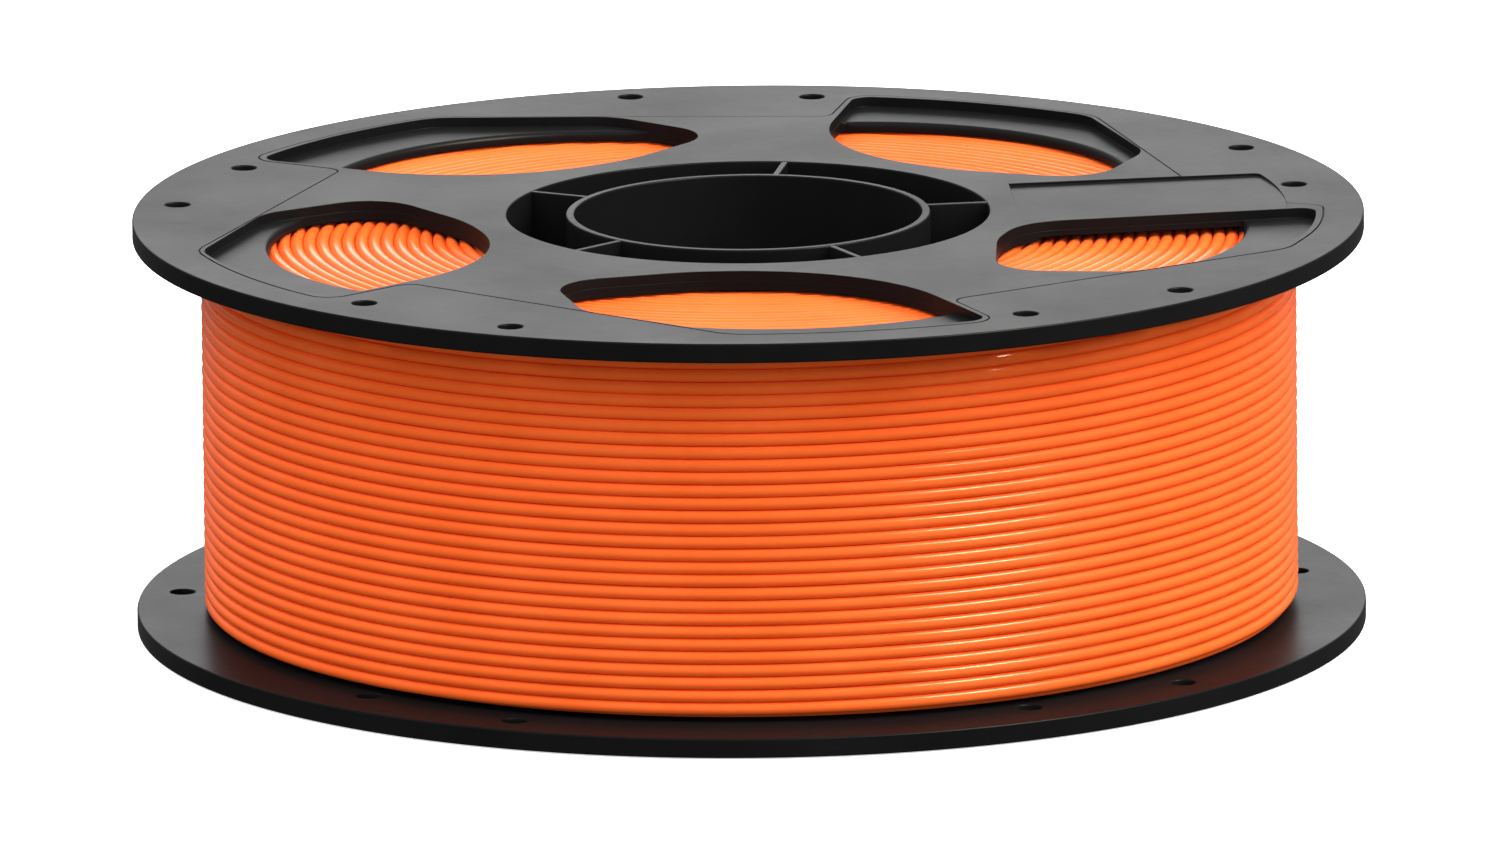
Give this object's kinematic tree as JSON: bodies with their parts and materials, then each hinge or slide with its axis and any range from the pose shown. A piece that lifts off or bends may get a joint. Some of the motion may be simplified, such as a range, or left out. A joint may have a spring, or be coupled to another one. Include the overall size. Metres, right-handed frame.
{
  "type": "filament spool",
  "caption": "Flat-lying black plastic spool for a 3D printer, its windowed flanges and hub in two halves that plug together, wound full with a glossy orange strand.",
  "frame": {"origin": "centre of the spool's lower face, on the surface it lies on", "axes": "+Z along the spool's axis, up out of the lower flange; -Y towards the viewer of the picture"},
  "size_m": [0.2, 0.2, 0.0678],
  "materials": {
    "spool_plastic": "fine satin, injection moulded",
    "filament": "glossy extruded strand",
    "tag": "matte printed-circuit sticker"
  },
  "bodies": {
    "lower_half": {"lower_flange": "spool_plastic", "lower_drum": "spool_plastic", "lower_bore_sleeve": "spool_plastic", "filament_winding": "filament", "filament_tail": "filament"},
    "upper_half": {"upper_flange": "spool_plastic", "upper_drum": "spool_plastic", "upper_bore_sleeve": "spool_plastic", "identity_tag": "tag"}
  },
  "joints": [
    {"name": "upper_half_lift", "type": "slide", "parent": "lower_half", "child": "upper_half", "axis": [0, 0, 1], "range_m": [0, 0.045]}
  ]
}
